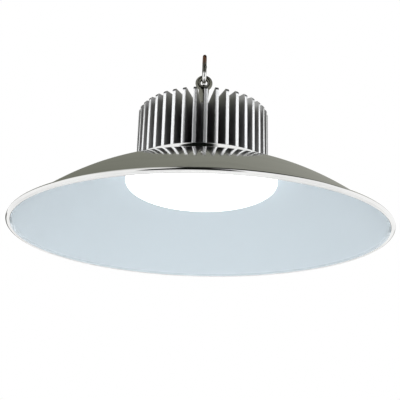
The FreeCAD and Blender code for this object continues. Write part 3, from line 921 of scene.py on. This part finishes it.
class HIGHBAY_OT_link(bpy.types.Operator):
    """Welded oval link that swings in the eye"""

    bl_idname = "highbay.link"
    bl_label = "Hanging link"

    def execute(self, context):
        size = settings().hanger
        material = make_plated_wire()
        low, high = span("hanging_link")
        wide = 2 * high.y
        middle = (low.z + high.z) / 2
        wire, weld = size.link_wire, size.weld
        side = -(wide / 2 - wire)
        steps, half, sunk, extra = 24, 0.003, 0.00012, 0.00005
        profile = [(0, middle - half)]
        for i in range(steps + 1):
            share = i / steps
            swell = math.sin(math.pi * share) ** 2
            radius = wire - sunk + (weld + extra) * swell
            profile.append((radius, middle - half + 2 * half * share))
        profile.append((0, middle + half))
        bm = bmesh.new()
        lathe(bm, profile, 40, centre=(0, side))
        mesh = grown(mesh_of(bm), wire_oval_tree(), material, Width=wide - 2 * wire,
                     Length=high.z - low.z - 2 * wire, Wire=wire, Centre=middle)
        publish("link_wire", mesh, material, body=LINK_BODY, replaces=["hanging_link"],
                sharp=60)
        return {"FINISHED"}


class HIGHBAY_OT_gland(bpy.types.Operator):
    """Cable gland behind the eye bolt"""

    bl_idname = "highbay.gland"
    bl_label = "Cable gland"

    def execute(self, context):
        size = settings().gland
        nickel = make_metal("nickel_plated_brass", settings().finish.nickel, 0.24, 80.0)
        rubber = make_moulded("black_rubber", (0.025, 0.025, 0.026), 0.7)
        low, high = span("gland_body")
        place = (0, (low.y + high.y) / 2)
        ring_low, ring_top = levels("gland_ring")
        cap_low, cap_top = levels("gland_cap")
        hex_top = cap_low - 0.0004
        flat = chamfer_circle(size.flats)
        bore, stem, step, bevel = 0.0042, 0.006, 0.001, soften(0.00012)
        bm = bmesh.new()
        hexagonal(bm, size.flats, [
            (bore, ring_top, 0), (flat, ring_top, 0), (None, ring_top, -0.4), (None, hex_top, 0.5),
            (flat, hex_top, 0), (stem, hex_top, 0), (stem, high.z, 0), (bore + step, high.z, 0),
            (bore + step, hex_top + step, 0), (bore, hex_top + step, 0)], place)
        overlap = 0.0002
        lathe(bm, [(bore, low.z), (stem, low.z), (stem, ring_top + overlap), (bore, ring_top + overlap)],
              72, closed=True, centre=place)
        publish("gland_body_nickel", finished(mesh_of(bm), bevel), nickel, replaces=["gland_body"])
        bm = bmesh.new()
        shoulder = cap_low + size.cap_hex
        rise, foot, brow = cap_top - shoulder, flat * 0.99, 0.0054
        crown = [(foot - (foot - brow) * (1 - math.cos(a)), shoulder + rise * math.sin(a), 0)
                 for a in (math.radians(11.25 * i) for i in range(9))]
        clear = stem + 0.0001
        hexagonal(bm, size.flats, [
            (clear, cap_low, 0), (flat, cap_low, 0), (None, cap_low, -0.4), (None, shoulder, 0.5),
            *crown, (size.mouth + 0.0004, cap_top, 0), (size.mouth, cap_top - 0.0004, 0),
            (size.mouth, cap_top - 0.0022, 0), (clear, cap_top - 0.0026, 0)], place)
        publish("gland_cap_nickel", finished(mesh_of(bm), bevel), nickel, replaces=["gland_cap"])
        bm = bmesh.new()
        profile = ring_profile(clear, reach("gland_ring"), ring_low, ring_top, 0.0003)
        lathe(bm, profile, 96, closed=True, centre=place)
        publish("gland_sealing_ring", mesh_of(bm), rubber, replaces=["gland_ring"])
        bm = bmesh.new()
        wide = reach("gland_seal")
        seal_low, seal_top = levels("gland_seal")
        inside, edge, steps = 0.0035, 0.0004, 10
        gap = (seal_top - seal_low - 2 * edge) / steps
        ribs = [(inside + 0.00025 * (i % 2), seal_top - edge - i * gap) for i in range(steps + 1)]
        lathe(bm, [(inside + edge, seal_top), *ribs, (inside + edge, seal_low), (wide, seal_low),
                   (wide, seal_top)], 72, closed=True, centre=place)
        publish("gland_insert", mesh_of(bm), rubber, replaces=["gland_seal"])
        return {"FINISHED"}


class HIGHBAY_OT_light_engine(bpy.types.Operator):
    """Finishes of the collar, the seals, the board and its parts"""

    bl_idname = "highbay.light_engine"
    bl_label = "Light engine"

    def execute(self, context):
        steel = make_metal("stainless_steel", (0.55, 0.56, 0.57), 0.28, 120.0)
        dress(["hub_screws", "board_screws", "collar_screws"], steel)
        dress(["diffuser_collar"], make_metal("turned_collar", settings().finish.polished, 0.26, 50.0))
        dress(["neck_gaskets", "diffuser_seal"], make_moulded("white_silicone", (0.72, 0.72, 0.70), 0.6))
        dress(["thermal_pad"], make_moulded("grey_heat_pad", (0.17, 0.19, 0.22), 0.8))
        dress(["led_board"], make_moulded("white_solder_resist", (0.84, 0.85, 0.84), 0.3, 500.0, 0.02))
        dress(["led_chips"], make_package())
        dress(["driver_chips", "rectifiers"], make_moulded("black_moulding", (0.02, 0.02, 0.022), 0.45))
        dress(["varistor"], make_moulded("blue_dipped_coat", (0.02, 0.07, 0.22), 0.35))
        dress(["fuse"], make_moulded("fuse_ceramic", (0.60, 0.56, 0.48), 0.3))
        dress(["terminal_block"], make_moulded("white_moulding", (0.74, 0.74, 0.70), 0.4))
        return {"FINISHED"}


# Stage

LEVEL = (1, 0, 0, 0)
UPRIGHT = (0.7071, 0.7071, 0, 0)


def plane(name, size, place, turn=LEVEL):
    """A flat sheet of the stage."""
    bm = bmesh.new()
    bmesh.ops.create_grid(bm, x_segments=1, y_segments=1, size=0.5)
    flat = placed(name, mesh_of(bm, tidy=False))
    flat.matrix_world = Matrix.LocRotScale(Vector(place), Quaternion(turn), Vector((*size, 1)))
    return flat


def glow(made, colour, share):
    """Mixes a plain glow into a stage material, by share."""
    light = made.node("ShaderNodeEmission", Color=colour)
    mix = made.node("ShaderNodeMixShader", Fac=share)
    out = made.nodes["Material Output"]
    made.links.new(light.outputs[0], mix.inputs[2])
    made.links.new(mix.outputs[0], out.inputs[0])
    return mix


def soft_card(name, size, place, turn, tones, soft=(0.06, 0.06)):
    """A card that only reflections see, its edges soft over shares of its width and height. Its
    tones are those of its own corners at -X -Y, +X -Y, -X +Y and +X +Y."""
    card = plane(name, size, place, turn)
    made = Finish(name)
    x, y = made.axis("X"), made.axis("Y")
    cover = [made.band(made.math("ABSOLUTE", side), 0.5, 0.5 - edge) for side, edge in zip((x, y), soft)]
    middle, whole, front = (-0.085, -0.055), (-0.4, 0.4), (-0.42, -0.35)
    share = made.band(x, *whole)
    near = made.mix(made.band(x, *middle), *tones[:2])
    far = made.mix(share * share, *tones[2:])
    tone = made.mix(made.band(y, *front), near, far)
    mix = glow(made, tone, cover[0] * cover[1])
    made.links.new(made.node("ShaderNodeBsdfTransparent").outputs[0], mix.inputs[1])
    made.nodes.remove(made.shader)
    card.data.materials.append(made.material)
    card.visible_camera = False
    card.visible_diffuse = False
    card.visible_shadow = False
    card.visible_transmission = False


def area_light(name, size, place, power):
    """A soft lamp that faces the light's middle and shows in no reflection."""
    lamp = bpy.data.lights.new(name, "AREA")
    lamp.shape = "RECTANGLE"
    lamp.size, lamp.size_y = size
    lamp.energy = power
    holder = placed(name, lamp)
    holder.visible_glossy = False
    direction = Vector(place) - Vector((0, 0, 0.08))
    facing = direction.to_track_quat("Z", "Y")
    holder.matrix_world = Matrix.LocRotScale(Vector(place), facing, Vector((1, 1, 1)))


class HIGHBAY_OT_stage(bpy.types.Operator):
    """Camera, floor, surroundings and lights"""

    bl_idname = "highbay.stage"
    bl_label = "Stage"

    def execute(self, context):
        scene = context.scene
        size = settings().stage
        view = bpy.data.cameras.new("camera")
        view.lens = size.lens
        view.sensor_width = 36.0
        view.clip_start, view.clip_end = 0.01, 50.0
        camera = placed("camera", view)
        turn = Matrix.Rotation(size.turn, 4, "Z")
        place = Matrix.Translation((size.aside, -size.distance, size.height))
        tilt = Matrix.Rotation(math.pi / 2 + size.pitch, 4, "X")
        camera.matrix_world = turn @ place @ tilt @ Matrix.Rotation(size.roll, 4, "Z")
        scene.camera = camera
        scene.view_settings.view_transform = "Standard"

        floor = plane("floor", (60, 60), (0, 0, -size.floor_drop))
        paint = Finish("pale_floor", roughness=0.9, base_color=(0.86, 0.86, 0.86))
        spread = paint.node("ShaderNodeLightPath").outputs["Is Diffuse Ray"]
        open_floor = paint.band(paint.radius(), -0.02, 0.045)
        shaded = glow(paint, (1, 1, 1), open_floor * (1.0 - Value(paint, spread)))
        paint.links.new(paint.shader.outputs[0], shaded.inputs[1])
        floor.data.materials.append(paint.material)

        world = bpy.data.worlds.new("surroundings")
        scene.world = world
        made = Shading(world, "Generated")
        path = made.node("ShaderNodeLightPath").outputs
        front = made.mix(made.band(made.axis("X"), -0.2, -0.14), (0.8, 0.8, 0.78), (0.03, 0.03, 0.028))
        ceiling = made.mix(made.band(made.axis("Y"), -0.1, 0.2), front, (0.17, 0.175, 0.15))
        reflected = made.mix(made.band(made.axis("Z"), 0.7, 0.8), (1, 1, 1), ceiling)
        lit = made.mix(path["Is Glossy Ray"], (0.12, 0.122, 0.128), reflected)
        seen = made.math("ADD", path["Is Camera Ray"], path["Is Transmission Ray"])
        made.links.new(made.mix(seen, lit, (1, 1, 1)), made.nodes["Background"].inputs[0])

        area_light("light_left", (2.0, 1.7), (-1.6, -0.35, 0.5), size.side_light)
        area_light("light_right", (2.0, 1.7), (1.6, -0.35, 0.5), size.side_light)
        area_light("light_top", (1.6, 1.2), (0.0, 0.6, 2.2), size.top_light)
        area_light("light_low", (0.7, 0.7), (0.0, -0.75, -0.8), size.low_light)
        dark, dim, pale = (0.004, 0.005, 0.004), (0.07, 0.07, 0.06), (0.8, 0.8, 0.78)
        soft_card("card_behind_camera", (2.0, 1.46), (-0.3, -1.8, 0.37), UPRIGHT, [dark] * 4, (0.15, 0.03))
        soft_card("card_above_camera", (1.5, 1.5), (-0.2, -1.78, 1.4), UPRIGHT, [dark] * 4, (0.3, 0.05))
        soft_card("card_overhead", (3.5, 4.3), (0, 1.9, 1.13), LEVEL,
                  [pale, dark, (0.175, 0.18, 0.145), (0.43, 0.43, 0.39)])
        soft_card("card_far_back", (5.6, 1.7), (-0.2, 3.7, 0.35), UPRIGHT,
                  [dim, dim, dim, (0.6, 0.6, 0.58)])
        return {"FINISHED"}


PIECES = (HIGHBAY_OT_heat_sink, HIGHBAY_OT_mounting_disc, HIGHBAY_OT_shade, HIGHBAY_OT_diffuser,
          HIGHBAY_OT_eye_bolt, HIGHBAY_OT_link, HIGHBAY_OT_gland, HIGHBAY_OT_light_engine, HIGHBAY_OT_stage)


class HIGHBAY_PT_panel(bpy.types.Panel):
    """Lists the pieces of the high bay light"""

    bl_idname = "HIGHBAY_PT_panel"
    bl_label = "High bay light"
    bl_space_type = "VIEW_3D"
    bl_region_type = "UI"
    bl_category = "High bay"

    def draw(self, context):
        for piece in PIECES:
            self.layout.operator(piece.bl_idname)


GROUPS = (HIGHBAY_SinkSettings, HIGHBAY_ShadeSettings, HIGHBAY_HangerSettings, HIGHBAY_GlandSettings,
          HIGHBAY_FinishSettings, HIGHBAY_StageSettings, HIGHBAY_Settings)


def register():
    for item in GROUPS + PIECES + (HIGHBAY_PT_panel,):
        bpy.utils.register_class(item)
    bpy.types.Scene.highbay = PointerProperty(type=HIGHBAY_Settings)


def unregister():
    del bpy.types.Scene.highbay
    for item in reversed(GROUPS + PIECES + (HIGHBAY_PT_panel,)):
        bpy.utils.unregister_class(item)


def main():
    register()
    for piece in PIECES:
        group, name = piece.bl_idname.split(".")
        getattr(getattr(bpy.ops, group), name)()


if __name__ == "__main__":
    main()
